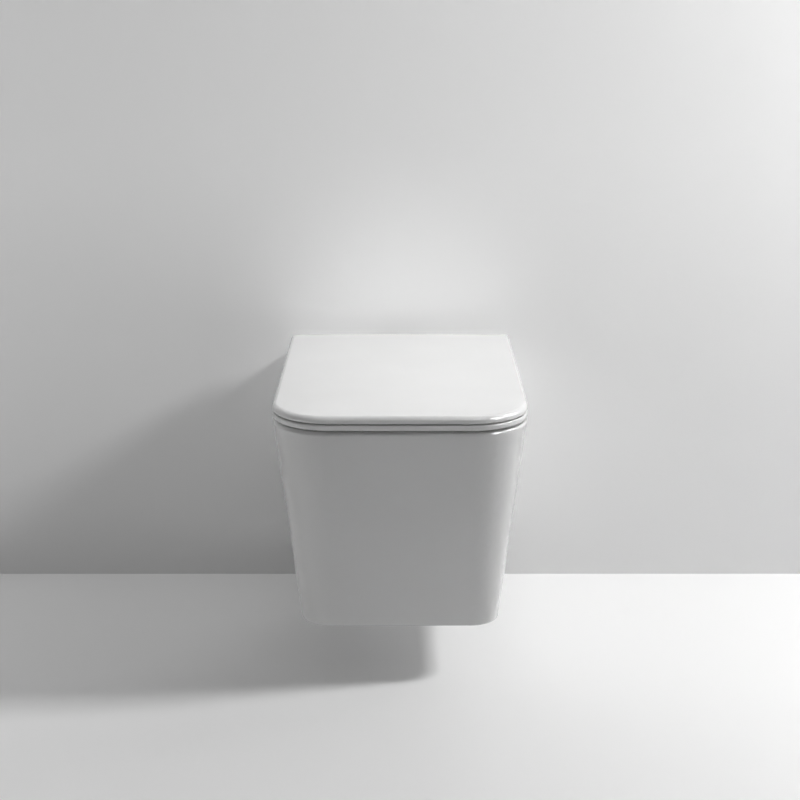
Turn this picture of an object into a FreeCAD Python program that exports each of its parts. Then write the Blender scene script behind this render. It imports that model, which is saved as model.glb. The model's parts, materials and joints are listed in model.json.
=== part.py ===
import FreeCAD, Part
import math
import os

# Wall hung toilet pan with soft close seat and lid, in mm.
# The origin lies midway between the wall studs on the wall face, +Y runs into the wall, +Z is up.

# Pan outline
pan_width = 350.0
pan_projection = 490.0
pan_height = 308.0
base_width = 282.0
base_projection = 415.0
rim_above_studs = 80.0
rim_corner_radius = 83.0
base_corner_radius = 40.0
rim_edge_radius = 5.0
base_edge_radius = 4.0
skirt_wall = 13.0
deck_thickness = 15.0

# How far a cutting form runs past the faces that it cuts
overshoot = 10.0

# How close two places are that count as the same, and the room left when edges are picked
tiny = 1e-4
margin = 0.1

# Bowl, open rim with a flush ledge
rim_side = 42.0
rim_front = 45.0
deck_depth = 155.0
opening_corner_radius = 88.0
opening_edge_radius = 7.0
ledge_depth = 40.0
ledge_width = 18.0
ledge_undercut = 3.0
ledge_edge_radius = 6.0
bowl_wall = 12.0
sump_width = 68.0
sump_front = 302.0
sump_back = 222.0
sump_corner_radius = 30.0
sump_floor_wall = 23.0
bowl_curve = 1.15

# Trap and waste outlet
outlet_below_studs = 100.0
outlet_radius = 51.0
outlet_bore_radius = 42.0
outlet_setback = 6.0
outlet_length = 84.0
trap_radius = 27.0
trap_wall = 11.0
trap_bend_radius = 46.0
trap_bend_from_wall = 185.0
weir_from_wall = 130.0
water_seal = 50.0
trap_entry = 40.0
weir_crest = 12.0
outlet_tail = 26.0
outlet_fall = 2.0
outlet_lead = 1.0
outlet_bore_end = 13.0

# Flush inlet
inlet_above_studs = 35.0
inlet_socket_radius = 27.5
inlet_socket_depth = 48.0
inlet_wall = 8.5
inlet_setback = 6.0
flush_slot_width = 84.0
flush_slot_height = 18.0
flush_slot_below_rim = 22.0
duct_wall = 9.0
duct_step = 5.0
duct_lap = 1.0
deflector_width = 112.0
deflector_wall = 9.0
deflector_gap = 11.0
deflector_foot = 14.0
deflector_rise = 4.0
deflector_edge_radius = 4.1

# Flush pipe seal
seal_bore_radius = 22.5
seal_clearance = 0.3
seal_lip = 2.1
seal_flange = 4.0
seal_length = 40.0
seal_groove = 3.0
seal_groove_depth = 1.5

# Hidden wall fixing
stud_spacing = 180.0
stud_hole_radius = 6.5
barrel_radius = 13.0
barrel_length = 62.0
barrel_chamfer = 1.5
barrel_clearance = 0.4
lug_half_height = 23.0
lug_wall = 9.0
lug_setback = 3.0
side_screw_setback = 46.0
side_screw_radius = 4.0
side_screw_head_radius = 6.5
side_screw_head = 4.0
side_screw_socket = 6.0
side_screw_socket_floor = 1.2
side_screw_tip = 1.5
side_screw_point = 1.6
side_screw_edge = 0.8
side_bush_radius = 7.0
side_bush_flange_radius = 10.0
side_bush_flange = 2.0
side_bush_gap = 2.0
side_recess_radius = 11.0
side_recess_depth = 7.0
side_cap_radius = 10.6
side_cap_wall = 2.0
side_cap_face = 1.6
side_cap_proud = 1.2
side_cap_edge = 0.8
side_fit = 0.3

# Hinge fixing on the deck
hinge_spacing = 155.0
hinge_setback = 75.0
hinge_hole_radius = 7.0
hinge_plate_radius = 20.0
hinge_plate = 3.0
hinge_plate_edge = 1.0
hinge_gasket = 1.0
hinge_gasket_radius = 19.0
hinge_bolt_radius = 3.0
hinge_bolt_tail = 3.0
hinge_bolt_point = 0.6
hinge_bush_radius = 6.6
hinge_bush_length = 38.0
hinge_nut_flats = 11.0
hinge_nut = 6.0
hinge_fit = 0.3

# Quick release post and hinge block
post_radius = 5.5
post_flange_radius = 9.0
post_flange = 1.5
post_head = 3.0
post_chamfer = 1.5
post_groove_radius = 3.2
post_groove = 3.6
post_thread_radius = 2.0
post_thread_depth = 8.0
post_thread_gap = 0.5
block_width = 28.0
block_front = 13.0
block_back = 12.0
block_top_above_axis = 4.5
block_edge_radius = 2.0
block_corner_radius = 4.0
block_barrel_width = 20.0
block_barrel_radius = 8.0
block_arm_half = 5.0
block_arm_step = 1.0
block_fit = 0.25
block_well_gap = 0.5

# Release button
button_width = 18.0
button_plate = 2.6
button_head_height = 8.0
button_head_width = 14.0
button_proud = 3.0
button_travel = 2.5
button_depth = 2.6
button_neck = 0.5
button_above_flange = 4.5
button_edge_radius = 1.2
latch_clear = 0.4
latch_wall = 2.6
button_fit = 0.3

# Hinge line
axis_setback = 45.0
axis_above_rim = 18.0
pin_radius = 3.0
pin_fit = 0.05
pin_end_gap = 0.5
pin_chamfer = 0.5
knuckle_radius = 8.0
knuckle_width = 29.5
knuckle_gap = 0.6
damper_radius = 6.0
damper_fit = 0.03
damper_end_wall = 2.5
damper_nose = 4.0
damper_step = 1.5

# Seat ring
seat_gap = 2.4
seat_edge = 8.0
seat_inset = 0.2
seat_crown = 3.5
seat_crown_margin = 13.0
seat_crown_radius = 4.0
seat_edge_radius = 2.2
seat_inner_radius = 6.0
seat_ring_side = 67.0
seat_ring_front = 62.0
seat_hole_back = 172.0
seat_hole_flat = 16.0
seat_back = 104.0
seat_back_corner_radius = 14.0
seat_arm_width = 27.0
seat_arm_half = 4.5
seat_arm_clear = 3.0
seat_arm_root = 10.0
seat_arm_toe = 4.0
seat_arm_lift = 2.6
seat_arm_step = 2.0
seat_back_margin = 2.0

# Lid
lid_gap = 1.6
lid_height = 19.0
lid_fall = 8.7
lid_inset = 0.2
lid_skin = 4.0
lid_lip = 8.0
lid_crown = 1.2
lid_edge_radius = 7.5
lid_back = 12.5
lid_back_radius = 4.0
lid_hinge_half_width = 128.0
lid_hinge_clear = 9.4
lid_foot_radius = 1.2
lid_pocket_radius = 3.0
lid_pocket_corner_radius = 6.0
lid_bay_wall = 4.0
lid_bay_lap = 20.0
lid_root = 1.2
lid_boss_margin = 1.5

# Rubber buffers
buffer_length = 34.0
buffer_width = 13.0
buffer_clear = 0.25
buffer_peg_radius = 3.0
buffer_peg = 3.0
buffer_peg_gap = 0.3
buffer_fit = 0.05
buffer_edge = 0.6
lid_buffer_height = 3.0
seat_buffer_side = 22.0
seat_buffer_from_front = 118.0
seat_buffer_back = 196.0
lid_buffer_from_front = 78.0
lid_buffer_back = 150.0
lid_buffer_side = 36.0

# Levels and places that follow from the sizes above
rim_z = rim_above_studs
base_z = rim_z - pan_height
ledge_z = rim_z - ledge_depth
sump_z = base_z + sump_floor_wall
seat_hole_half = pan_width / 2.0 - seat_ring_side
seat_hole_front = pan_projection - seat_ring_front
seat_hole_corner_radius = seat_hole_half - seat_hole_flat
axis_y = -axis_setback
axis_z = rim_z + axis_above_rim
seat_z = rim_z + seat_gap
seat_top_z = seat_z + seat_edge
crown_z = seat_top_z + seat_crown
lid_z = seat_top_z + lid_gap
lid_top_z = lid_z + lid_height
trap_low_z = sump_z + trap_radius
weir_z = trap_low_z + water_seal + 2.0 * trap_radius
hinge_x = hinge_spacing / 2.0
hinge_y = -hinge_setback
stud_x = stud_spacing / 2.0
plate_z = rim_z + hinge_gasket
post_z = plate_z + hinge_plate
barrel_half = block_barrel_width / 2.0
lid_knuckle_x = hinge_x - barrel_half - knuckle_gap - knuckle_width
seat_knuckle_x = hinge_x + barrel_half + knuckle_gap
button_z = post_z + post_flange + button_above_flange

X = FreeCAD.Vector(1, 0, 0)
Y = FreeCAD.Vector(0, 1, 0)
Z = FreeCAD.Vector(0, 0, 1)


def at(x, y, z):
    return FreeCAD.Vector(x, y, z)


def block(x0, x1, y0, y1, z0, z1):
    return Part.makeBox(x1 - x0, y1 - y0, z1 - z0, at(x0, y0, z0))


def rod(radius, length, start, along):
    return Part.makeCylinder(radius, length, start, along)


def drill(radius, length, start, along):
    """Cutting rod that runs past both of its ends."""
    return rod(radius, length + 2.0 * overshoot, start - along * overshoot, along)


def mirrored(shape):
    return shape.mirror(at(0, 0, 0), X)


def between(low, high, share):
    return low + (high - low) * share


def arc(a, b, c):
    return Part.Arc(a, b, c).toShape()


def line(a, b):
    return Part.LineSegment(a, b).toShape()


def outline(half, back, front, back_radius, front_radius, z):
    """Closed plan outline, wide 2 * half, from y = back to y = front, with rounded corners."""
    s = math.sqrt(0.5)
    fx, fy, fr = half - front_radius, front + front_radius, front_radius * s
    bx, by, br = half - back_radius, back - back_radius, back_radius * s
    edges = [
        line(at(-fx, front, z), at(fx, front, z)),
        arc(at(fx, front, z), at(fx + fr, fy - fr, z), at(half, fy, z)),
        line(at(half, fy, z), at(half, by, z)),
        line(at(bx, back, z), at(-bx, back, z)),
        line(at(-half, by, z), at(-half, fy, z)),
        arc(at(-half, fy, z), at(-fx - fr, fy - fr, z), at(-fx, front, z)),
    ]
    if back_radius > 0:
        edges.insert(3, arc(at(half, by, z), at(bx + br, by + br, z), at(bx, back, z)))
        edges.insert(5, arc(at(-bx, back, z), at(-bx - br, by + br, z), at(-half, by, z)))
    return Part.Wire(edges)


def prism(wire, height):
    return Part.Face(wire).extrude(at(0, 0, height))


def any_edge(edge):
    return True


def edges_at(shape, z, keep=any_edge):
    """Edges lying in the level z for which keep(edge) holds."""
    found = []
    for e in shape.Edges:
        box = e.BoundBox
        if abs(box.ZMin - z) < tiny and abs(box.ZMax - z) < tiny and keep(e):
            found.append(e)
    return found


def path(points, radii):
    """Wire through (y, z) points in the middle plane, corners turned by tangent arcs."""
    p = [at(0, y, z) for y, z in points]
    edges = []
    start = p[0]
    for i in range(1, len(p) - 1):
        a = (p[i - 1] - p[i]).normalize()
        b = (p[i + 1] - p[i]).normalize()
        half = a.getAngle(b) / 2.0
        reach = radii[i - 1] / math.tan(half)
        t0, t1 = p[i] + a * reach, p[i] + b * reach
        axis = (a + b).normalize()
        mid = p[i] + axis * (radii[i - 1] / math.sin(half) - radii[i - 1])
        edges.append(line(start, t0))
        edges.append(arc(t0, mid, t1))
        start = t1
    edges.append(line(start, p[-1]))
    return Part.Wire(edges)


def tube(wire, radius):
    start = wire.Vertexes[0].Point
    way = wire.Edges[0].tangentAt(wire.Edges[0].FirstParameter)
    ring = Part.Wire(Part.Circle(start, way, radius).toShape())
    return wire.makePipeShell([ring], True, True)


def skirt(z, inset, back):
    """Plan outline of the skirt at level z, moved in by inset."""
    share = (z - base_z) / pan_height
    half = between(base_width, pan_width, share) / 2.0
    front = between(base_projection, pan_projection, share)
    radius = between(base_corner_radius, rim_corner_radius, share)
    return outline(half - inset, back, -front + inset, 0.0, radius - inset, z)


def skirt_side(z):
    return between(base_width, pan_width, (z - base_z) / pan_height) / 2.0


def bowl_section(share, grow, z):
    """Bowl outline at a share of its depth, 0 at the ledge and 1 at the sump floor."""
    k = 1.0 - share ** bowl_curve
    half = between(sump_width / 2.0, pan_width / 2.0 - rim_side - ledge_width, k)
    front = between(sump_front, pan_projection - rim_front - ledge_width, k)
    back = between(sump_back, deck_depth + ledge_width, k)
    radius = between(sump_corner_radius, opening_corner_radius - ledge_width, k)
    return outline(half + grow, -back + grow, -front - grow, radius + grow, radius + grow, z)


def opening(z, grow):
    half = pan_width / 2.0 - rim_side + grow
    radius = opening_corner_radius + grow
    front = pan_projection - rim_front + grow
    return outline(half, -deck_depth + grow, -front, radius, radius, z)


def trap_line():
    """Middle line of the waterway: sump, low bend, weir, outlet."""
    tail_y = -outlet_setback - outlet_length + outlet_tail
    points = (
        (-sump_front + trap_entry, trap_low_z),
        (-trap_bend_from_wall, trap_low_z),
        (-weir_from_wall, weir_z - trap_radius + weir_crest),
        (tail_y, -outlet_below_studs + outlet_fall),
        (tail_y + outlet_lead, -outlet_below_studs),
    )
    return path(points, (trap_bend_radius, trap_bend_radius, trap_bend_radius / 2.0))


def ahead_of_wall(edge):
    return edge.BoundBox.YMin < 0.0


def pan_skin():
    """Skirt, deck and open back of the pan, before the bowl is put in."""
    levels, past = (base_z, rim_z), overshoot
    body = Part.makeLoft([skirt(z, 0.0, past) for z in levels], True, True)
    body = body.makeFillet(base_edge_radius, edges_at(body, base_z, ahead_of_wall))
    body = body.makeFillet(rim_edge_radius, edges_at(body, rim_z, ahead_of_wall))
    levels = (base_z + skirt_wall, rim_z - deck_thickness)
    hollow = Part.makeLoft([skirt(z, skirt_wall, past) for z in levels], True, True)
    wall = block(-pan_width, pan_width, 0.0, 2.0 * past, base_z - past, rim_z + past)
    return body.cut([hollow, wall])


def bowl_form(grow):
    """Lower bowl from the ledge to the sump, grown outward by grow."""
    floor = sump_z - grow
    shares = (0.0, 0.22, 0.46, 0.7, 0.88, 1.0)
    return Part.makeLoft([bowl_section(s, grow, between(ledge_z, floor, s)) for s in shares], True, False)


def flush_duct(grow):
    """Waterway from the inlet socket, rising and widening to the slot behind the bowl."""
    y0 = -inlet_setback - inlet_socket_depth + duct_lap
    y1 = -deck_depth - ledge_undercut - duct_lap
    z1 = rim_z - flush_slot_below_rim
    r = inlet_socket_radius - duct_step + grow
    hw, hh = flush_slot_width / 2.0 + grow, flush_slot_height / 2.0 + grow
    s = math.sqrt(0.5)
    start, z0 = [], inlet_above_studs
    spots = ((-1, -1), (1, -1), (1, 1), (-1, 1))
    ring = [at(i * r * s, y0, z0 + j * r * s) for i, j in spots]
    mids = (at(0, y0, z0 - r), at(r, y0, z0), at(0, y0, z0 + r), at(-r, y0, z0))
    slot = [at(i * hw, y1, z1 + j * hh) for i, j in spots]
    end = []
    for i in range(4):
        start.append(arc(ring[i], mids[i], ring[(i + 1) % 4]))
        end.append(line(slot[i], slot[(i + 1) % 4]))
    return Part.makeLoft([Part.Wire(start), Part.Wire(end)], True, True)


def within(grow):
    """Test for edges that lie inside the bowl opening, grown by grow."""
    reach = grow + margin
    half = pan_width / 2.0 - rim_side + reach
    front, back = -(pan_projection - rim_front + reach), -deck_depth + reach

    def test(edge):
        box = edge.BoundBox
        return box.XMax < half and box.XMin > -half and box.YMin > front and box.YMax < back

    return test


def make_pan():
    shell = pan_skin()
    high = rim_z - deck_thickness / 2.0
    upper = Part.makeLoft([opening(ledge_z - bowl_wall, ledge_undercut + bowl_wall),
                           opening(high, bowl_wall)], True, True)
    inlet_back, socket = -inlet_setback, inlet_socket_depth + inlet_wall
    outlet_start = -outlet_setback - outlet_length
    lugs = []
    for side in (1, -1):
        inner, outer = stud_x - barrel_radius - lug_wall, skirt_side(0.0) - skirt_wall / 2.0
        lug = block(inner, outer, -barrel_length - lug_wall, -lug_setback,
                    -lug_half_height, lug_half_height)
        lugs.append(lug if side > 0 else mirrored(lug))
    solid = shell.fuse([
        upper,
        bowl_form(bowl_wall),
        tube(trap_line(), trap_radius + trap_wall),
        rod(outlet_radius, outlet_length, at(0, outlet_start, -outlet_below_studs), Y),
        rod(inlet_socket_radius + inlet_wall, socket, at(0, inlet_back - socket, inlet_above_studs), Y),
        flush_duct(duct_wall),
    ] + lugs)
    bore_depth = outlet_length - outlet_bore_end
    channel = Part.makeLoft([opening(ledge_z, ledge_undercut), opening(rim_z, 0.0)], True, True)
    above = prism(opening(rim_z, 0.0), overshoot)
    cuts = [
        channel,
        above,
        bowl_form(0.0),
        tube(trap_line(), trap_radius),
        rod(outlet_bore_radius, bore_depth + overshoot,
            at(0, -outlet_setback - bore_depth, -outlet_below_studs), Y),
        rod(inlet_socket_radius, inlet_socket_depth + overshoot,
            at(0, -inlet_setback - inlet_socket_depth, inlet_above_studs), Y),
        flush_duct(0.0),
    ]
    for side in (1, -1):
        cuts.append(drill(hinge_hole_radius, deck_thickness,
                          at(side * hinge_x, hinge_y, rim_z - deck_thickness), Z))
        cuts.append(rod(barrel_radius + barrel_clearance, barrel_length + overshoot,
                        at(side * stud_x, -barrel_length, 0), Y))
        screw = rod(side_bush_radius + side_fit, pan_width, at(stud_x, -side_screw_setback, 0), X)
        recess = rod(side_recess_radius, pan_width, at(side_face(), -side_screw_setback, 0), X)
        cuts += [screw, recess] if side > 0 else [mirrored(screw), mirrored(recess)]
    pan = solid.cut(cuts)
    pan = pan.makeFillet(opening_edge_radius, edges_at(pan, rim_z, within(0.0)))
    pan = pan.makeFillet(ledge_edge_radius, edges_at(pan, ledge_z, within(-ledge_width)))
    y1 = -deck_depth - ledge_undercut - deflector_gap
    top = rim_z - flush_slot_below_rim + flush_slot_height / 2.0 + deflector_rise
    guard = block(-deflector_width / 2.0, deflector_width / 2.0, y1 - deflector_wall, y1,
                  ledge_z - deflector_foot, top)
    long_edges = [e for e in edges_at(guard, top) if e.BoundBox.XLength > deflector_wall]
    guard = guard.makeFillet(deflector_edge_radius, long_edges)
    return pan.fuse(guard).removeSplitter().Solids[0]


def make_inlet_seal():
    """Stepped rubber collar that grips the flush pipe in the inlet socket."""
    mouth = at(0, -inlet_setback, inlet_above_studs)
    inner_end = mouth - Y * seal_length
    middle = mouth - Y * (seal_length / 2.0)
    outer = inlet_socket_radius - seal_clearance
    sleeve = rod(outer, seal_length, inner_end, Y)
    lip = rod(inlet_socket_radius + seal_lip, seal_flange, mouth, Y)
    groove = rod(inlet_socket_radius, seal_groove, middle, Y)
    groove = groove.cut(rod(outer - seal_groove_depth, seal_groove, middle, Y))
    bore = drill(seal_bore_radius, seal_length, inner_end, Y)
    return sleeve.fuse(lip).removeSplitter().cut([bore, groove])


def make_fixing_barrel():
    """Sleeve on the wall stud, with a cross hole for the tip of the side screw."""
    end = -barrel_length + barrel_clearance
    body = rod(barrel_radius, -end, at(stud_x, end, 0), Y)
    body = body.makeChamfer(barrel_chamfer, [e for e in body.Edges if abs(e.BoundBox.YMax - end) < tiny])
    stud = drill(stud_hole_radius, barrel_length, at(stud_x, -barrel_length, 0), Y)
    tip = rod(side_screw_radius + side_fit, barrel_radius + overshoot, at(stud_x, -side_screw_setback, 0), X)
    return body.cut([stud, tip])


def side_face():
    return skirt_side(0.0) - side_recess_depth


def make_side_bush():
    start = stud_x + barrel_radius + side_bush_gap
    body = rod(side_bush_radius, side_face() - start, at(start, -side_screw_setback, 0), X)
    flange = rod(side_bush_flange_radius, side_bush_flange, at(side_face(), -side_screw_setback, 0), X)
    hole = drill(side_screw_radius + side_fit, side_face() - start, at(start, -side_screw_setback, 0), X)
    return body.fuse(flange).removeSplitter().cut(hole)


def make_side_screw():
    """Socket screw that draws the pan onto the sleeve."""
    start = stud_x + stud_hole_radius + side_screw_tip
    head = side_face() + side_bush_flange
    shank = rod(side_screw_radius, head - start, at(start, -side_screw_setback, 0), X)
    tip = [e for e in shank.Edges if abs(e.BoundBox.XMax - start) < tiny]
    shank = shank.makeChamfer(side_screw_point, tip)
    cap = rod(side_screw_head_radius, side_screw_head, at(head, -side_screw_setback, 0), X)
    top = head + side_screw_head
    cap = cap.makeFillet(side_screw_edge, [e for e in cap.Edges if abs(e.BoundBox.XMin - top) < tiny])
    floor = at(head + side_screw_socket_floor, -side_screw_setback, 0)
    socket = hexagon(side_screw_socket, side_screw_head, floor, X)
    return shank.fuse(cap).cut(socket).removeSplitter()


def make_side_cap():
    """Push-in cap over the screw head, slightly proud of the skirt."""
    start = side_face() + side_bush_flange
    top = skirt_side(0.0) + side_cap_proud
    body = rod(side_cap_radius, top - start, at(start, -side_screw_setback, 0), X)
    body = body.makeFillet(side_cap_edge, [e for e in body.Edges if abs(e.BoundBox.XMin - top) < tiny])
    return body.cut(rod(side_cap_radius - side_cap_wall, top - start - side_cap_face,
                        at(start, -side_screw_setback, 0), X))


def hexagon(flats, height, start, along):
    """Six sided prism measured across its flats."""
    u = Z if along == X else X
    v = along.cross(u)
    r = flats / math.sqrt(3.0)
    turn = [math.radians(60.0 * i) for i in range(7)]
    ring = [start + u * (r * math.cos(t)) + v * (r * math.sin(t)) for t in turn]
    return Part.Face(Part.makePolygon(ring)).extrude(along * height)


def make_hinge_gasket():
    body = rod(hinge_gasket_radius, hinge_gasket, at(hinge_x, hinge_y, rim_z), Z)
    return body.cut(drill(hinge_bolt_radius + hinge_fit, hinge_gasket, at(hinge_x, hinge_y, rim_z), Z))


def make_hinge_plate():
    body = rod(hinge_plate_radius, hinge_plate, at(hinge_x, hinge_y, plate_z), Z)
    body = body.makeFillet(hinge_plate_edge, edges_at(body, post_z))
    return body.cut(drill(hinge_bolt_radius + hinge_fit, hinge_plate, at(hinge_x, hinge_y, plate_z), Z))


def make_hinge_post():
    """Grooved post over which the hinge block drops and latches."""
    groove_z = button_z - post_groove / 2.0
    top = button_z + post_groove / 2.0 + post_head
    body = rod(post_flange_radius, post_flange, at(hinge_x, hinge_y, post_z), Z)
    stem = rod(post_radius, top - post_z, at(hinge_x, hinge_y, post_z), Z)
    stem = stem.makeChamfer(post_chamfer, edges_at(stem, top))
    ring = rod(post_flange_radius, post_groove, at(hinge_x, hinge_y, groove_z), Z)
    ring = ring.cut(rod(post_groove_radius, post_groove, at(hinge_x, hinge_y, groove_z), Z))
    thread = rod(post_thread_radius + pin_fit, post_thread_depth, at(hinge_x, hinge_y, post_z), Z)
    return body.fuse(stem).cut([ring, thread]).removeSplitter()


def make_hinge_bolt():
    """Threaded stud from the post down to the nut."""
    low = rim_z - hinge_bush_length - hinge_nut - hinge_bolt_tail
    upper = rod(post_thread_radius, post_thread_depth - post_thread_gap, at(hinge_x, hinge_y, post_z), Z)
    lower = rod(hinge_bolt_radius, post_z - low, at(hinge_x, hinge_y, low), Z)
    lower = lower.makeChamfer(hinge_bolt_point, edges_at(lower, low))
    return lower.fuse(upper).removeSplitter()


def make_expansion_bush():
    """Rubber sleeve that swells in the deck hole when the nut is drawn up."""
    low = rim_z - hinge_bush_length
    body = rod(hinge_bush_radius, hinge_bush_length - hinge_fit, at(hinge_x, hinge_y, low), Z)
    return body.cut(drill(hinge_bolt_radius + hinge_fit, hinge_bush_length, at(hinge_x, hinge_y, low), Z))


def make_hinge_nut():
    low = rim_z - hinge_bush_length - hinge_nut
    body = hexagon(hinge_nut_flats, hinge_nut, at(hinge_x, hinge_y, low), Z)
    return body.cut(drill(hinge_bolt_radius + pin_fit, hinge_nut, at(hinge_x, hinge_y, low), Z))


def make_hinge_block():
    """Hinge body: a pillar that drops over the post and an arm back to the hinge line."""
    low, top = post_z + button_fit, axis_z + block_top_above_axis
    front, back = hinge_y - block_front, hinge_y + block_back
    half = block_width / 2.0
    pillar = block(hinge_x - half, hinge_x + half, front, back, low, top)
    upright = [e for e in pillar.Edges if e.BoundBox.ZLength > margin]
    pillar = pillar.makeFillet(block_corner_radius, upright)
    pillar = pillar.makeFillet(block_edge_radius, edges_at(pillar, top))
    arm = block(hinge_x - barrel_half, hinge_x + barrel_half, back - block_corner_radius, axis_y,
                axis_z - block_arm_half, axis_z + block_arm_half - block_arm_step)
    barrel = rod(block_barrel_radius, block_barrel_width, at(hinge_x - barrel_half, axis_y, axis_z), X)
    body = pillar.fuse([arm, barrel]).removeSplitter()
    post_top = button_z + post_groove / 2.0 + post_head
    under = at(hinge_x, hinge_y, low - overshoot)
    well = rod(post_radius + block_fit, post_top + block_well_gap - under.z, under, Z)
    mouth = rod(post_flange_radius + block_fit, overshoot + post_flange, under, Z)
    pin = drill(pin_radius + pin_fit, block_width, at(hinge_x - half, axis_y, axis_z), X)
    slot = button_space(button_width, front - overshoot, button_end() + button_travel,
                        button_plate, button_fit)
    pocket = button_space(button_head_width, front - overshoot, front + button_depth + button_travel,
                          button_head_height, button_fit)
    return body.cut([well, mouth, pin, slot, pocket])


def button_space(width, front, back, height, grow):
    """Block about the button's middle line, grown at its sides and its back."""
    half, rise = width / 2.0 + grow, height / 2.0 + grow
    return block(hinge_x - half, hinge_x + half, front, back + grow, button_z - rise, button_z + rise)


def button_end():
    """Back end of the latch plate at rest."""
    return hinge_y + post_radius + latch_clear - button_travel + latch_wall


def make_release_button():
    """Push button with a latch plate whose eye catches the groove of the post."""
    front = hinge_y - block_front
    plate = button_space(button_width, front + button_neck, button_end(), button_plate, 0.0)
    head = button_space(button_head_width, front - button_proud, front + button_depth,
                        button_head_height, 0.0)
    face = front - button_proud
    ends = [e for e in head.Edges if abs(e.BoundBox.YMax - face) < tiny]
    head = head.makeFillet(button_edge_radius, ends)
    eye = drill(post_radius + latch_clear, button_plate,
                at(hinge_x, hinge_y - button_travel, button_z - button_plate / 2.0), Z)
    return plate.fuse(head).cut(eye).removeSplitter()


def make_hinge_pin():
    start = lid_knuckle_x + damper_end_wall + pin_end_gap
    end = seat_knuckle_x + knuckle_width - damper_end_wall - pin_end_gap
    body = rod(pin_radius, end - start, at(start, axis_y, axis_z), X)
    return body.makeChamfer(pin_chamfer, [e for e in body.Edges if e.BoundBox.XLength < tiny])


def cartridge(start, open_side):
    """Sleeve inside a knuckle; its open side faces the hinge block."""
    length = knuckle_width - damper_end_wall
    low = start if open_side < 0 else start + damper_end_wall + damper_fit
    body = rod(damper_radius, length - damper_fit, at(low, axis_y, axis_z), X)
    return body.cut(drill(pin_radius + pin_fit, length, at(low, axis_y, axis_z), X))


def damper(start, open_side):
    """Soft close cartridge: the sleeve with a stepped rotor nose at its open side."""
    nose = at(start if open_side < 0 else start + knuckle_width - damper_nose, axis_y, axis_z)
    ring = rod(knuckle_radius, damper_nose, nose, X)
    ring = ring.cut(rod(damper_radius - damper_step, damper_nose, nose, X))
    return cartridge(start, open_side).cut(ring)


def knuckle(start):
    return rod(knuckle_radius, knuckle_width, at(start, axis_y, axis_z), X)


def knuckle_bore(start, open_side):
    """Blind bore for the cartridge, cut in from the open side."""
    low = start - overshoot if open_side < 0 else start + damper_end_wall
    length = knuckle_width - damper_end_wall + overshoot
    return rod(damper_radius + damper_fit, length, at(low, axis_y, axis_z), X)


def stadium(length, width, height, centre):
    """Flat pad with round ends, long in Y."""
    x, y, z = centre.x, centre.y, centre.z
    r = width / 2.0
    h = length / 2.0 - r
    wire = Part.Wire([
        line(at(x + r, y - h, z), at(x + r, y + h, z)),
        arc(at(x + r, y + h, z), at(x, y + h + r, z), at(x - r, y + h, z)),
        line(at(x - r, y + h, z), at(x - r, y - h, z)),
        arc(at(x - r, y - h, z), at(x, y - h - r, z), at(x + r, y - h, z)),
    ])
    return prism(wire, height)


def seat_buffer_spots():
    x = pan_width / 2.0 - seat_buffer_side
    front, back = -pan_projection + seat_buffer_from_front, -seat_buffer_back
    return [at(s * x, y, seat_z) for s in (1, -1) for y in (front, back)]


def lid_buffer_spots():
    x = pan_width / 2.0 - lid_buffer_side
    front, back = -pan_projection + lid_buffer_from_front, -lid_buffer_back
    return [at(s * x, y, 0) for s in (1, -1) for y in (front, back)]


def seat_outline(z, inset, back_inset):
    half = pan_width / 2.0 - seat_inset - inset
    front = -pan_projection + seat_inset + inset
    radius = rim_corner_radius - seat_inset - inset
    return outline(half, -seat_back - back_inset, front, seat_back_corner_radius - back_inset, radius, z)


def in_seat_hole(edge):
    box, half = edge.BoundBox, seat_hole_half + margin
    ahead, behind = -seat_hole_front - margin, -seat_hole_back + margin
    return box.XMax < half and box.XMin > -half and box.YMin > ahead and box.YMax < behind


def seat_arm():
    """Sloping arm from the ring's back edge to the hinge line."""
    x0 = hinge_x + block_width / 2.0 + seat_arm_clear
    root_y, under_z = -seat_back - seat_arm_root, seat_z + seat_arm_lift
    profile = (
        (axis_y, axis_z + seat_arm_half), (axis_y, axis_z - seat_arm_half),
        (-seat_back + seat_arm_toe, under_z), (root_y, under_z),
        (root_y, crown_z - seat_arm_step), (-seat_back, crown_z),
    )
    corners = [at(x0, y, z) for y, z in profile]
    return Part.Face(Part.makePolygon(corners + corners[:1])).extrude(X * seat_arm_width)


def make_seat_ring():
    """Ring with a flat outer edge that shows under the lid and a raised sitting face inside it."""
    body = prism(seat_outline(seat_z, 0.0, 0.0), seat_edge)
    body = body.makeFillet(seat_edge_radius, edges_at(body, seat_z))
    body = body.makeFillet(seat_edge_radius, edges_at(body, seat_top_z))
    middle_z = seat_z + seat_edge / 2.0
    crown = prism(seat_outline(middle_z, seat_crown_margin, seat_back_margin), crown_z - middle_z)
    crown = crown.makeFillet(seat_crown_radius, edges_at(crown, crown_z))
    hole = outline(seat_hole_half, -seat_hole_back, -seat_hole_front,
                   seat_hole_corner_radius, seat_hole_corner_radius, seat_z - overshoot)
    ring = body.fuse(crown).cut(prism(hole, crown_z - seat_z + 2.0 * overshoot)).removeSplitter()
    ring = ring.makeFillet(seat_inner_radius, edges_at(ring, crown_z, in_seat_hole))
    ring = ring.makeFillet(seat_edge_radius, edges_at(ring, seat_z, in_seat_hole))
    pieces, holes = [], []
    for shape in (seat_arm(), knuckle(seat_knuckle_x)):
        pieces += [shape, mirrored(shape)]
    bore = knuckle_bore(seat_knuckle_x, -1)
    holes += [bore, mirrored(bore)]
    for spot in seat_buffer_spots():
        holes.append(rod(buffer_peg_radius + buffer_fit, buffer_peg + buffer_peg_gap, spot, Z))
    return ring.fuse(pieces).cut(holes).removeSplitter()


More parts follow.
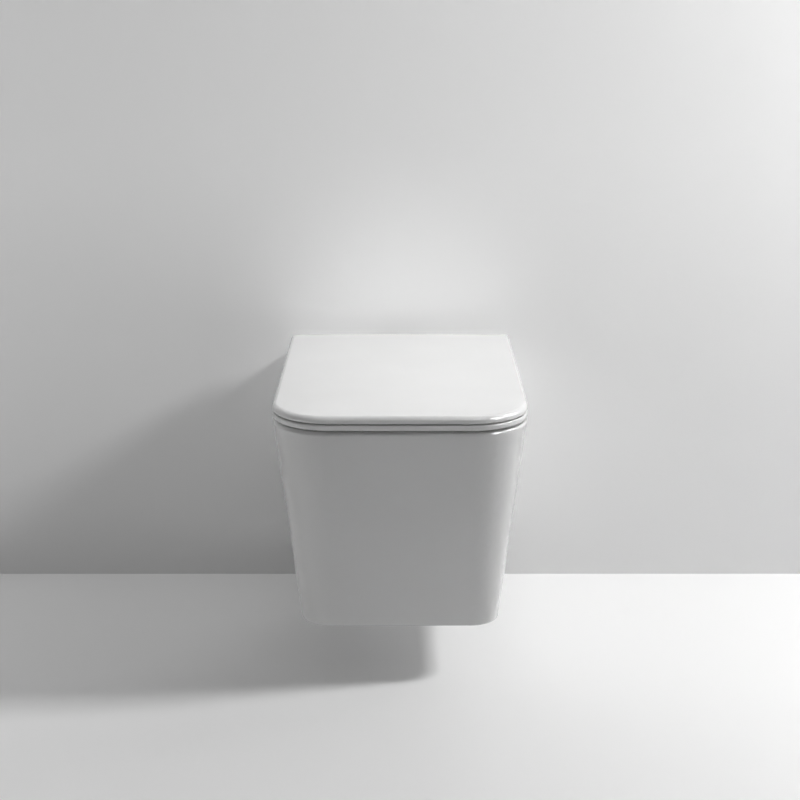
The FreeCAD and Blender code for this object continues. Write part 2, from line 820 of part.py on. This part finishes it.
def make_seat_buffers():
    pads = []
    foot = rim_z + buffer_clear
    for spot in seat_buffer_spots():
        pad = stadium(buffer_length, buffer_width, seat_z - foot, at(spot.x, spot.y, foot))
        pad = pad.makeFillet(buffer_edge, edges_at(pad, foot))
        pads.append(pad.fuse(rod(buffer_peg_radius, buffer_peg, spot, Z)).removeSplitter())
    return Part.makeCompound(pads)


def lid_slope():
    """Angle, in degrees, by which the lid's top falls from its back edge to its front."""
    return math.degrees(math.atan(lid_fall / (pan_projection - axis_setback + lid_back)))


def under_lid_top(depth):
    """Sloping block whose upper face lies depth below the middle of the lid's top."""
    back = axis_y + lid_back
    level = block(-pan_width, pan_width, back - 2.0 * pan_projection, pan_projection,
                  lid_z - pan_height, lid_top_z - depth)
    return level.rotated(at(0, back, lid_top_z), X, lid_slope())


def lid_dome():
    """Long round form that gives the lid its crown across and its fall to the front."""
    half, back = pan_width / 2.0 - lid_inset, axis_y + lid_back
    dome = (half * half + lid_crown * lid_crown) / (2.0 * lid_crown)
    level = drill(dome, 2.0 * pan_projection, at(0, back - 2.0 * pan_projection, lid_top_z - dome), Y)
    return level.rotated(at(0, back, lid_top_z), X, lid_slope())


def make_lid():
    """Crowned lid with a full outer lip, hollow below, and a thin cover over the hinges."""
    half = pan_width / 2.0 - lid_inset
    front = -pan_projection + lid_inset
    back = axis_y + lid_back
    radius = rim_corner_radius - lid_inset
    full = lid_height + overshoot
    body = prism(outline(half, back, front, 0.0, radius, lid_z), full).common(lid_dome())
    low = lid_top_z - lid_crown - lid_fall - margin
    body = body.makeFillet(lid_edge_radius, [e for e in body.Edges
                                             if e.BoundBox.ZMin > low and e.BoundBox.YMin < back - margin])
    rear = [e for e in body.Edges if e.BoundBox.YMin > back - tiny and e.BoundBox.ZMax > lid_z + margin]
    body = body.makeFillet(lid_back_radius, rear)
    body = body.makeFillet(lid_foot_radius, edges_at(body, lid_z))
    pocket_back = axis_y - lid_hinge_clear - lid_bay_wall
    floor = lid_z - overshoot
    pocket = prism(outline(half - lid_lip, pocket_back, front + lid_lip, lid_pocket_corner_radius,
                           radius - lid_lip, floor), full)
    pocket = pocket.common(under_lid_top(lid_skin))
    pocket = pocket.makeFillet(lid_pocket_radius, [e for e in pocket.Edges if e.BoundBox.ZMin > lid_z])
    bay = block(-lid_hinge_half_width, lid_hinge_half_width, pocket_back - lid_bay_lap, back + overshoot,
                floor, lid_top_z).common(under_lid_top(lid_skin))
    clear = rod(lid_hinge_clear, 2.0 * lid_hinge_half_width, at(-lid_hinge_half_width, axis_y, axis_z), X)
    body = body.cut([pocket, bay, clear])
    pieces, holes = [], []
    web = block(lid_knuckle_x, lid_knuckle_x + knuckle_width,
                axis_y - knuckle_radius, axis_y + knuckle_radius, axis_z, lid_top_z)
    for shape in (knuckle(lid_knuckle_x), web):
        pieces += [shape, mirrored(shape)]
    bore = knuckle_bore(lid_knuckle_x, 1)
    holes += [bore, mirrored(bore)]
    boss_foot = crown_z + buffer_clear + lid_buffer_height
    for spot in lid_buffer_spots():
        base = at(spot.x, spot.y, boss_foot)
        pieces.append(stadium(buffer_length + 2.0 * lid_boss_margin, buffer_width + 2.0 * lid_boss_margin,
                              lid_top_z - boss_foot, base))
        holes.append(rod(buffer_peg_radius + buffer_fit, buffer_peg + buffer_peg_gap, base, Z))
    rooted = under_lid_top(lid_skin - lid_root)
    return body.fuse([p.common(rooted) for p in pieces]).cut(holes).removeSplitter()


def make_lid_buffers():
    pads = []
    foot = crown_z + buffer_clear
    for spot in lid_buffer_spots():
        pad = stadium(buffer_length, buffer_width, lid_buffer_height, at(spot.x, spot.y, foot))
        pad = pad.makeFillet(buffer_edge, edges_at(pad, foot))
        peg = rod(buffer_peg_radius, buffer_peg, at(spot.x, spot.y, foot + lid_buffer_height), Z)
        pads.append(pad.fuse(peg).removeSplitter())
    return Part.makeCompound(pads)


def save(name, shape):
    shape.exportStep(os.path.join("parts", name + ".step"))
    print(name, len(shape.Solids), shape.isValid(), round(shape.Volume / 1000.0, 2), len(shape.Faces))


def save_pair(name, shape):
    save(name + "_right", shape)
    save(name + "_left", mirrored(shape))


os.makedirs("parts", exist_ok=True)
save("ceramic_pan", make_pan())
save("inlet_seal", make_inlet_seal())
save_pair("fixing_barrel", make_fixing_barrel())
save_pair("side_bush", make_side_bush())
save_pair("side_screw", make_side_screw())
save_pair("side_cap", make_side_cap())
save_pair("hinge_gasket", make_hinge_gasket())
save_pair("hinge_plate", make_hinge_plate())
save_pair("hinge_post", make_hinge_post())
save_pair("hinge_bolt", make_hinge_bolt())
save_pair("expansion_bush", make_expansion_bush())
save_pair("hinge_nut", make_hinge_nut())
save_pair("hinge_block", make_hinge_block())
save_pair("release_button", make_release_button())
save_pair("hinge_pin", make_hinge_pin())
save("seat_damper", damper(seat_knuckle_x, -1))
save("seat_bush", mirrored(cartridge(seat_knuckle_x, -1)))
save("lid_damper", mirrored(damper(lid_knuckle_x, 1)))
save("lid_bush", cartridge(lid_knuckle_x, 1))
save("seat_ring", make_seat_ring())
save("seat_buffers", make_seat_buffers())
save("lid", make_lid())
save("lid_buffers", make_lid_buffers())
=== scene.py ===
import bmesh
import bpy
import json
import math
from mathutils import Matrix, Vector


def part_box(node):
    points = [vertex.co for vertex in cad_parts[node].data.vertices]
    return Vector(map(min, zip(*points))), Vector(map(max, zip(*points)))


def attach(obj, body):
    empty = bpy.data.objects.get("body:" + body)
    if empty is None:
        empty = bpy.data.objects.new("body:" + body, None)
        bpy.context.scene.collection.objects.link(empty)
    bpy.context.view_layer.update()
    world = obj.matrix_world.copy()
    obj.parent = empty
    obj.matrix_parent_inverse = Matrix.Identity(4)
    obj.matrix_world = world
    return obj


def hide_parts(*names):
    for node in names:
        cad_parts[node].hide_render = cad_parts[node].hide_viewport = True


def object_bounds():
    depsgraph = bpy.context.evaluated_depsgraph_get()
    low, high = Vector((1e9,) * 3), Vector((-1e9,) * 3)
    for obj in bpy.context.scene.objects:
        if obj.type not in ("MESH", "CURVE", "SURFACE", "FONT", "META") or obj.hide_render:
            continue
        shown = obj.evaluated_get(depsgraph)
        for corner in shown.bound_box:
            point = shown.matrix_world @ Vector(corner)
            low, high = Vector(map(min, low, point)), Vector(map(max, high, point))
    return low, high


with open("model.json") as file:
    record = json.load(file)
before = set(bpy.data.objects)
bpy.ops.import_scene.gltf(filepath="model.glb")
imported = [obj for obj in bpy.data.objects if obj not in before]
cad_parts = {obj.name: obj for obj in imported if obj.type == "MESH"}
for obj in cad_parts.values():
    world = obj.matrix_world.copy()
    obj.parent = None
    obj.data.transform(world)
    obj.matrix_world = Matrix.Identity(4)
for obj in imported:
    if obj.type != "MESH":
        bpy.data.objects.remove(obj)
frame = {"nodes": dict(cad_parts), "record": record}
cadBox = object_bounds()
scene = bpy.context.scene
scene.view_settings.view_transform = "Standard"
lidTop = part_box("lid")[1].z
print("frame:", len(frame["nodes"]), "nodes, lid top at", round(lidTop, 4))

# camera
cameraSetup = {
    "sensor": 36.0,  # mm
    "lens": 67.9,  # mm
    "pitch": 15.3,  # degrees below level
    "aheadOfWall": 2.396,  # metres
    "aboveLid": 0.536,
}


def makeCamera():
    data = bpy.data.cameras.new("camera")
    data.sensor_width = cameraSetup["sensor"]
    data.lens = cameraSetup["lens"]
    camera = bpy.data.objects.new("camera", data)
    camera.location = (0, -cameraSetup["aheadOfWall"], lidTop + cameraSetup["aboveLid"])
    camera.rotation_euler = (math.radians(90 - cameraSetup["pitch"]), 0, 0)
    scene.collection.objects.link(camera)
    scene.camera = camera


# node helpers
noiseSpan = (0.3, 0.7)  # the part of a noise's range that colour and gloss run over
white = (1, 1, 1, 1)


def newMaterial(name):
    material = bpy.data.materials.new(name)
    material.use_nodes = True
    tree = material.node_tree
    shader = next(n for n in tree.nodes if n.type == "BSDF_PRINCIPLED")
    return material, tree, shader


def setSockets(node, values):
    for key, value in values.items():
        node.inputs[key].default_value = value


def addNode(tree, kind, values=None, **settings):
    node = tree.nodes.new(kind)
    for key, value in settings.items():
        setattr(node, key, value)
    setSockets(node, values or {})
    return node


def objectNoise(tree, pattern, stretch=(1, 1, 1)):
    scale, detail = pattern
    coords = addNode(tree, "ShaderNodeTexCoord")
    mapping = addNode(tree, "ShaderNodeMapping", {"Scale": stretch})
    noise = addNode(tree, "ShaderNodeTexNoise", {"Scale": scale, "Detail": detail})
    tree.links.new(coords.outputs["Object"], mapping.inputs["Vector"])
    tree.links.new(mapping.outputs["Vector"], noise.inputs["Vector"])
    return noise


def spreadFrom(tree, source, span, values, **settings):
    spread = addNode(tree, "ShaderNodeMapRange", {
        "From Min": span[0], "From Max": span[1],
        "To Min": values[0], "To Max": values[1],
    }, **settings)
    tree.links.new(source, spread.inputs["Value"])
    return spread


def tintRamp(tree, noise, low, high):
    ramp = addNode(tree, "ShaderNodeValToRGB")
    for element, place, colour in zip(ramp.color_ramp.elements, noiseSpan, (low, high)):
        element.position = place
        element.color = (*colour, 1)
    tree.links.new(noise.outputs["Fac"], ramp.inputs["Fac"])
    return ramp


def tintBetween(tree, shader, noise, low, high):
    ramp = tintRamp(tree, noise, low, high)
    tree.links.new(ramp.outputs["Color"], shader.inputs["Base Color"])


def roughBetween(tree, shader, noise, rough):
    spread = spreadFrom(tree, noise.outputs["Fac"], noiseSpan, rough)
    tree.links.new(spread.outputs["Result"], shader.inputs["Roughness"])


def bumpFrom(tree, shader, noise, depth, under=None):
    bump = addNode(tree, "ShaderNodeBump", {"Distance": depth, "Strength": 1.0})
    tree.links.new(noise.outputs["Fac"], bump.inputs["Height"])
    if under:
        tree.links.new(under.outputs["Normal"], bump.inputs["Normal"])
    tree.links.new(bump.outputs["Normal"], shader.inputs["Normal"])
    return bump


# finishes: a pattern is the scale and the detail of its noise, a depth is in metres
glaze = {
    "low": (0.790, 0.790, 0.787),
    "high": (0.815, 0.815, 0.813),
    "cloud": (7.0, 3.0),
    "rough": (0.05, 0.11),
    "patches": (60.0, 4.0),
    "flow": (22.0, 1.0),
    "flowDepth": 0.00018,
    "grain": (900.0, 2.0),
    "depth": 0.000006,
    "coat": 0.6,
    "sockets": {"IOR": 1.5, "Coat Roughness": 0.03, "Coat IOR": 1.5},
    "bareLow": (0.66, 0.63, 0.58),
    "bareHigh": (0.74, 0.71, 0.66),
    "bareGrain": (420.0, 5.0),
    "bareRough": 0.85,
    "bareSpan": (-0.0018, -0.0012),  # metres from the wall face, where the glaze ends
}


def bareAtWall(tree):
    coords = addNode(tree, "ShaderNodeTexCoord")
    apart = addNode(tree, "ShaderNodeSeparateXYZ")
    tree.links.new(coords.outputs["Object"], apart.inputs["Vector"])
    return spreadFrom(tree, apart.outputs["Y"], glaze["bareSpan"], (0, 1)).outputs["Result"]


def makeGlaze():
    material, tree, shader = newMaterial("vitreousChina")
    setSockets(shader, glaze["sockets"])
    bare = bareAtWall(tree)
    glazed = tintRamp(tree, objectNoise(tree, glaze["cloud"]), glaze["low"], glaze["high"])
    bareGrain = objectNoise(tree, glaze["bareGrain"])
    clay = tintRamp(tree, bareGrain, glaze["bareLow"], glaze["bareHigh"])
    tint = addNode(tree, "ShaderNodeMix", data_type="RGBA")
    tree.links.new(bare, tint.inputs["Factor"])
    tree.links.new(glazed.outputs["Color"], tint.inputs["A"])
    tree.links.new(clay.outputs["Color"], tint.inputs["B"])
    tree.links.new(tint.outputs["Result"], shader.inputs["Base Color"])
    patches = objectNoise(tree, glaze["patches"])
    gloss = spreadFrom(tree, patches.outputs["Fac"], noiseSpan, glaze["rough"])
    rough = spreadFrom(tree, bare, (0, 1), (0, glaze["bareRough"]))
    tree.links.new(gloss.outputs["Result"], rough.inputs["To Min"])
    tree.links.new(rough.outputs["Result"], shader.inputs["Roughness"])
    coat = spreadFrom(tree, bare, (0, 1), (glaze["coat"], 0))
    tree.links.new(coat.outputs["Result"], shader.inputs["Coat Weight"])
    flow = bumpFrom(tree, shader, objectNoise(tree, glaze["flow"]), glaze["flowDepth"])
    bumpFrom(tree, shader, objectNoise(tree, glaze["grain"]), glaze["depth"], under=flow)
    return material


def makeMoulded(name, look):
    material, tree, shader = newMaterial(name)
    setSockets(shader, look.get("sockets", {}))
    tintBetween(tree, shader, objectNoise(tree, look["cloud"]), look["low"], look["high"])
    roughBetween(tree, shader, objectNoise(tree, look["patches"]), look["rough"])
    bumpFrom(tree, shader, objectNoise(tree, look["grain"]), look["depth"])
    return material


thermoset = {
    "low": (0.825, 0.825, 0.822),
    "high": (0.850, 0.850, 0.848),
    "cloud": (9.0, 2.0),
    "rough": (0.03, 0.06),
    "patches": (140.0, 5.0),
    "grain": (700.0, 2.0),
    "depth": 0.000005,
    "sockets": {"IOR": 1.52, "Coat Weight": 0.5, "Coat Roughness": 0.02},
}

plastic = {"cloud": (60.0, 4.0), "patches": (240.0, 4.0), "depth": 0.00002}
plastics = {
    "hingeShell": {
        "low": (0.77, 0.77, 0.765), "high": (0.80, 0.80, 0.795),
        "rough": (0.20, 0.30), "grain": (1100.0, 2.0),
    },
    "buttonGrey": {
        "low": (0.26, 0.27, 0.28), "high": (0.33, 0.34, 0.35),
        "rough": (0.38, 0.52), "grain": (1400.0, 2.0),
    },
    "damperGrey": {
        "low": (0.09, 0.095, 0.10), "high": (0.13, 0.135, 0.14),
        "rough": (0.40, 0.55), "grain": (1400.0, 2.0),
    },
    "nylonNatural": {
        "low": (0.66, 0.66, 0.61), "high": (0.74, 0.74, 0.69),
        "rough": (0.36, 0.50), "grain": (900.0, 2.0),
    },
    "capWhite": {
        "low": (0.80, 0.80, 0.795), "high": (0.84, 0.84, 0.835),
        "rough": (0.14, 0.22), "grain": (1200.0, 2.0),
    },
}


def makePlastic(name):
    return makeMoulded(name, {**plastic, **plastics[name]})


rubber = {"cloud": (90.0, 5.0), "patches": (320.0, 5.0), "grain": (1500.0, 3.0), "depth": 0.00003}
rubbers = {
    "sealRubber": {
        "low": (0.018, 0.018, 0.018), "high": (0.040, 0.040, 0.041), "rough": (0.55, 0.80),
    },
    "bufferRubber": {
        "low": (0.50, 0.50, 0.49), "high": (0.58, 0.58, 0.57), "rough": (0.45, 0.65),
    },
}


def makeRubber(name):
    return makeMoulded(name, {**rubber, **rubbers[name]})


metal = {"marks": (420.0, 4.0), "depth": 0.000012, "sockets": {"Metallic": 1.0}}
metals = {
    "stainlessTurned": {
        "low": (0.50, 0.50, 0.49), "high": (0.62, 0.62, 0.61),
        "rough": (0.18, 0.34), "stretch": (1, 1, 14),
    },
    "zincAlloy": {
        "low": (0.42, 0.43, 0.44), "high": (0.54, 0.55, 0.56),
        "rough": (0.30, 0.48), "stretch": (1, 12, 1),
    },
    "hingeChrome": {
        "low": (0.66, 0.67, 0.68), "high": (0.72, 0.73, 0.74),
        "rough": (0.05, 0.14), "stretch": (1, 1, 1),
    },
}


def makeMetal(name):
    look = metals[name]
    material, tree, shader = newMaterial(name)
    setSockets(shader, metal["sockets"])
    marks = objectNoise(tree, metal["marks"], look["stretch"])
    tintBetween(tree, shader, marks, look["low"], look["high"])
    roughBetween(tree, shader, marks, look["rough"])
    bumpFrom(tree, shader, marks, metal["depth"])
    return material


finishes = {
    "vitreous_china": makeGlaze(),
    "seat_white": makeMoulded("seatWhite", thermoset),
    "stainless": makeMetal("stainlessTurned"),
    "zinc_alloy": makeMetal("zincAlloy"),
    "hinge_chrome": makeMetal("hingeChrome"),
    "hinge_shell": makePlastic("hingeShell"),
    "button_grey": makePlastic("buttonGrey"),
    "damper_grey": makePlastic("damperGrey"),
    "nylon": makePlastic("nylonNatural"),
    "cap_white": makePlastic("capWhite"),
    "seal_rubber": makeRubber("sealRubber"),
    "buffer_rubber": makeRubber("bufferRubber"),
}
slotOf = {part["node"]: part["material_slot"] for part in frame["record"]["subparts"]}
bodies = frame["record"]["behaviour"]["bodies"]
print("finishes:", len(finishes))

# pieces carried over from the solids, with their facets smoothed
smoothing = {
    "merge": 0.000002,  # metres
    "sharpAngle": 31.0,  # degrees
}


def bodyOf(node):
    return next(body for body, members in bodies.items() if node in members)


def smoothPiece(node):
    mesh = frame["nodes"][node].data.copy()
    mesh.name = node + "Smooth"
    custom = mesh.attributes.get("custom_normal")
    if custom:
        mesh.attributes.remove(custom)
    shape = bmesh.new()
    shape.from_mesh(mesh)
    bmesh.ops.remove_doubles(shape, verts=shape.verts, dist=smoothing["merge"])
    limit = math.radians(smoothing["sharpAngle"])
    for edge in shape.edges:
        edge.smooth = edge.is_manifold and edge.calc_face_angle(math.pi) < limit
    for face in shape.faces:
        face.smooth = True
    shape.to_mesh(mesh)
    shape.free()
    mesh.materials.clear()
    mesh.materials.append(finishes[slotOf[node]])
    piece = bpy.data.objects.new(node + "Finished", mesh)
    scene.collection.objects.link(piece)
    weighted = piece.modifiers.new("weighted", "WEIGHTED_NORMAL")
    weighted.keep_sharp = True
    weighted.mode = "FACE_AREA"
    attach(piece, bodyOf(node))
    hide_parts(node)


for node in frame["nodes"]:
    smoothPiece(node)
print("smoothed pieces:", len(frame["nodes"]))


def addDetail(shape, name, node):
    for face in shape.faces:
        face.smooth = True
    mesh = bpy.data.meshes.new(name)
    shape.to_mesh(mesh)
    shape.free()
    mesh.materials.append(finishes[slotOf[node]])
    piece = bpy.data.objects.new(name, mesh)
    scene.collection.objects.link(piece)
    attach(piece, bodyOf(node))


# finger ribs on the release buttons, in metres
ribs = {
    "count": 3,
    "pitch": 0.0019,
    "length": 0.0090,
    "height": 0.0009,
    "proud": 0.0003,
    "edge": 0.0002,
    "edgeSegments": 2,
}


def makeRibs(node):
    low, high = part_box(node)
    middle = (low + high) / 2
    shape = bmesh.new()
    size = Matrix.Diagonal((ribs["length"], 2 * ribs["proud"], ribs["height"], 1))
    for i in range(ribs["count"]):
        rise = (i - (ribs["count"] - 1) / 2) * ribs["pitch"]
        place = Matrix.Translation((middle.x, low.y, middle.z + rise))
        bmesh.ops.create_cube(shape, size=1, matrix=place @ size)
    bmesh.ops.bevel(shape, geom=shape.edges[:], offset=ribs["edge"], affect="EDGES",
                    segments=ribs["edgeSegments"], profile=0.5, material=-1)
    addDetail(shape, node + "Ribs", node)


# screw thread on the tails of the hinge studs, below their nuts, in metres
thread = {
    "radius": 0.0030,
    "pitch": 0.0010,
    "flank": 0.0004,  # from the crest to a root, along the stud
    "proud": 0.00025,
    "sunk": 0.00010,
    "fromEnd": 0.0007,
    "turns": 2,
    "stepsPerTurn": 32,
}


def makeThread(node):
    low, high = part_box(node)
    foot = Vector(((low.x + high.x) / 2, (low.y + high.y) / 2, low.z + thread["fromEnd"]))
    root, crest = thread["radius"] - thread["sunk"], thread["radius"] + thread["proud"]
    profile = ((root, -thread["flank"]), (crest, 0), (root, thread["flank"]))
    shape = bmesh.new()
    corners = [shape.verts.new(foot + Vector((r, 0, up))) for r, up in profile]
    flanks = [shape.edges.new(pair) for pair in zip(corners, corners[1:])]
    bmesh.ops.spin(shape, geom=corners + flanks, cent=foot, axis=(0, 0, 1),
                   dvec=(0, 0, thread["pitch"] / thread["stepsPerTurn"]),
                   angle=math.tau * thread["turns"],
                   steps=thread["stepsPerTurn"] * thread["turns"], use_merge=False)
    bmesh.ops.recalc_face_normals(shape, faces=shape.faces)
    addDetail(shape, node + "Thread", node)


for side in ("_right", "_left"):
    makeRibs("release_button" + side)
    makeThread("hinge_bolt" + side)
print("details: button ribs and stud threads")

# stage: a pale floor, and a pale backdrop that shows from the front only; both carry painted
# light, a glow that only camera and glossy rays see
stageSetup = {
    "floorBelowLid": 0.427,  # metres
    "halfWidth": 6.0,
    "backdropGap": 0.003,
    "sockets": {"Roughness": 0.6, "Specular IOR Level": 0.2, "Emission Color": white},
    "floor": {
        "bounced": (0.66, 0.66, 0.66, 1),
        "shown": (0.80, 0.80, 0.80, 1),
        "axis": "X",
        "span": (-0.6, 0.4),
        # painted light, paler towards the left
        "paintedLight": (0.10, 0.0),
        "paintedRingMiddle": (0.0, -0.3),  # painted light, paler towards the horizon
        "paintedRingSpan": (0.9, 3.2),
        "paintedRingLight": (0.0, 0.6),
    },
    "backdrop": {
        "bounced": (0.90, 0.90, 0.90, 1),
        "shown": (0.90, 0.90, 0.90, 1),
        "axis": "Z",
        "span": (lidTop - 0.40, lidTop + 0.25),
        # painted light, paler towards the top
        "paintedLight": (0.0, 0.13),
        "paintedRingMiddle": (0.0, 0.0),  # painted halo of light off the lid
        "paintedRingSpan": (0.0, 0.32),
        "paintedRingLight": (0.15, 0.0),
    },
}


def stageMaterial(name, look, paintedRingHeight):
    material, tree, shader = newMaterial(name)
    setSockets(shader, stageSetup["sockets"])
    path = addNode(tree, "ShaderNodeLightPath")
    seen = addNode(tree, "ShaderNodeMath", operation="MAXIMUM")
    tree.links.new(path.outputs["Is Camera Ray"], seen.inputs[0])
    tree.links.new(path.outputs["Is Glossy Ray"], seen.inputs[1])
    tint = addNode(tree, "ShaderNodeMix", {"A": look["bounced"], "B": look["shown"]},
                   data_type="RGBA")
    tree.links.new(seen.outputs["Value"], tint.inputs["Factor"])
    tree.links.new(tint.outputs["Result"], shader.inputs["Base Color"])
    coords = addNode(tree, "ShaderNodeTexCoord")
    apart = addNode(tree, "ShaderNodeSeparateXYZ")
    away = addNode(tree, "ShaderNodeVectorMath", {1: (*look["paintedRingMiddle"], paintedRingHeight)},
                   operation="DISTANCE")
    tree.links.new(coords.outputs["Object"], apart.inputs["Vector"])
    tree.links.new(coords.outputs["Object"], away.inputs[0])
    # painted light: a glow along one axis plus a ring, added as emission for camera and glossy
    # rays only
    paintedGradient = spreadFrom(tree, apart.outputs[look["axis"]], look["span"], look["paintedLight"])
    paintedRing = spreadFrom(tree, away.outputs["Value"], look["paintedRingSpan"], look["paintedRingLight"],
                      interpolation_type="SMOOTHSTEP")
    paintedLight = addNode(tree, "ShaderNodeMath", operation="ADD")
    shown = addNode(tree, "ShaderNodeMath", operation="MULTIPLY")
    tree.links.new(paintedGradient.outputs["Result"], paintedLight.inputs[0])
    tree.links.new(paintedRing.outputs["Result"], paintedLight.inputs[1])
    tree.links.new(paintedLight.outputs["Value"], shown.inputs[0])
    tree.links.new(seen.outputs["Value"], shown.inputs[1])
    tree.links.new(shown.outputs["Value"], shader.inputs["Emission Strength"])
    return material


def clearFromBehind(material):
    tree = material.node_tree
    shader = next(n for n in tree.nodes if n.type == "BSDF_PRINCIPLED")
    output = next(n for n in tree.nodes if n.type == "OUTPUT_MATERIAL")
    geometry = addNode(tree, "ShaderNodeNewGeometry")
    clear = addNode(tree, "ShaderNodeBsdfTransparent")
    mix = addNode(tree, "ShaderNodeMixShader")
    tree.links.new(geometry.outputs["Backfacing"], mix.inputs["Fac"])
    tree.links.new(shader.outputs["BSDF"], mix.inputs[1])
    tree.links.new(clear.outputs["BSDF"], mix.inputs[2])
    tree.links.new(mix.outputs["Shader"], output.inputs["Surface"])


def stagePlane(name, corners, material):
    shape = bmesh.new()
    shape.faces.new([shape.verts.new(c) for c in corners])
    mesh = bpy.data.meshes.new(name)
    shape.to_mesh(mesh)
    shape.free()
    mesh.materials.append(material)
    plane = bpy.data.objects.new(name, mesh)
    scene.collection.objects.link(plane)
    return plane


def makeStage():
    reach, floorZ = stageSetup["halfWidth"], lidTop - stageSetup["floorBelowLid"]
    sides = ((-reach, -reach), (reach, -reach), (reach, reach), (-reach, reach))
    pale = stageMaterial("paleFloor", stageSetup["floor"], floorZ)
    floor = stagePlane("floor", [(x, y, floorZ) for x, y in sides], pale)
    wallY = cadBox[1].y + stageSetup["backdropGap"]
    sides = ((-reach, floorZ), (reach, floorZ), (reach, reach), (-reach, reach))
    pale = stageMaterial("paleBackdrop", stageSetup["backdrop"], lidTop)
    clearFromBehind(pale)
    wall = stagePlane("backdrop", [(x, wallY, z) for x, z in sides], pale)
    wall.visible_shadow = False  # so that the rear lamp reaches the part
    return floor, wall


# light: soft lamps, and a row of panes that only the gloss mirrors
lightSetup = {
    "lamps": {
        "overheadBack": {
            "place": (1.3, -0.20, 2.0), "size": (0.80, 0.60), "power": 29.0,
            "stage": "EXCLUDE",  # lights all but the stage
        },
        "shadowCaster": {
            "place": (1.9, -0.50, 1.45), "size": (0.30, 0.40), "power": 46.0,
            "stage": "INCLUDE",  # lights the stage alone
        },
        "stageFill": {
            "place": (-0.3, -1.60, 2.2), "size": (2.40, 1.60), "power": 6.0,
            "stage": "INCLUDE",
        },
        "overheadFront": {
            "place": (0.9, -0.90, 2.3), "size": (1.20, 0.60), "power": 20.5,
            "stage": "EXCLUDE",
        },
        "lowRight": {"place": (1.9, 0.25, -0.05), "size": (0.60, 0.40), "power": 4.0},
        "fill": {"place": (-2.0, -0.9, 0.15), "size": (1.00, 0.80), "power": 6.6},
        "rear": {"place": (0.5, 1.5, 0.3), "size": (0.60, 0.50), "power": 6.5},
    },
    "panes": {
        "nearPane": {"place": (1.12, -1.02, 0.70), "size": (0.46, 0.80), "power": 16.0},
        "middlePane": {"place": (1.28, -0.44, 0.78), "size": (0.16, 0.70), "power": 7.5},
        "farPane": {"place": (1.20, -0.20, 0.76), "size": (0.10, 0.60), "power": 4.0},
        "rimPane": {"place": (0.38, -1.20, 1.00), "size": (0.70, 0.30), "power": 2.0},
    },
    "aim": (0.0, -0.28, 0.05),
    "paneAim": (0.15, -0.46, 0.10),
    "ambient": 0.02,
    "shown": 0.78,
}


def makeLamp(name, lamp, aim, isPane):
    data = bpy.data.lights.new(name, "AREA")
    data.shape = "RECTANGLE"
    data.size, data.size_y = lamp["size"]
    data.energy = lamp["power"]
    holder = bpy.data.objects.new(name, data)
    holder.location = lamp["place"]
    way = Vector(aim) - Vector(lamp["place"])
    holder.rotation_euler = way.to_track_quat("-Z", "Y").to_euler()
    holder.visible_camera = False
    holder.visible_glossy = isPane
    holder.visible_diffuse = not isPane
    scene.collection.objects.link(holder)
    return holder


def limitReach(holder, planes, state):
    group = bpy.data.collections.new(holder.name + "Reach")
    for plane in planes:
        group.objects.link(plane)
    holder.light_linking.receiver_collection = group
    for entry in group.collection_objects:
        entry.light_linking.link_state = state


def makeWorld():
    world = bpy.data.worlds.new("studio")
    scene.world = world
    world.use_nodes = True
    tree = world.node_tree
    tree.nodes.clear()
    path = addNode(tree, "ShaderNodeLightPath")
    light, shown = (
        addNode(tree, "ShaderNodeBackground", {"Color": white, "Strength": lightSetup[key]})
        for key in ("ambient", "shown"))
    mix = addNode(tree, "ShaderNodeMixShader")
    output = addNode(tree, "ShaderNodeOutputWorld")
    tree.links.new(path.outputs["Is Camera Ray"], mix.inputs["Fac"])
    tree.links.new(light.outputs["Background"], mix.inputs[1])
    tree.links.new(shown.outputs["Background"], mix.inputs[2])
    tree.links.new(mix.outputs["Shader"], output.inputs["Surface"])


makeCamera()
stagePlanes = makeStage()
for name, lamp in lightSetup["lamps"].items():
    holder = makeLamp(name, lamp, lightSetup["aim"], False)
    if "stage" in lamp:
        limitReach(holder, stagePlanes, lamp["stage"])
for name, pane in lightSetup["panes"].items():
    makeLamp(name, pane, lightSetup["paneAim"], True)
makeWorld()
print("stage, camera and lights in place")
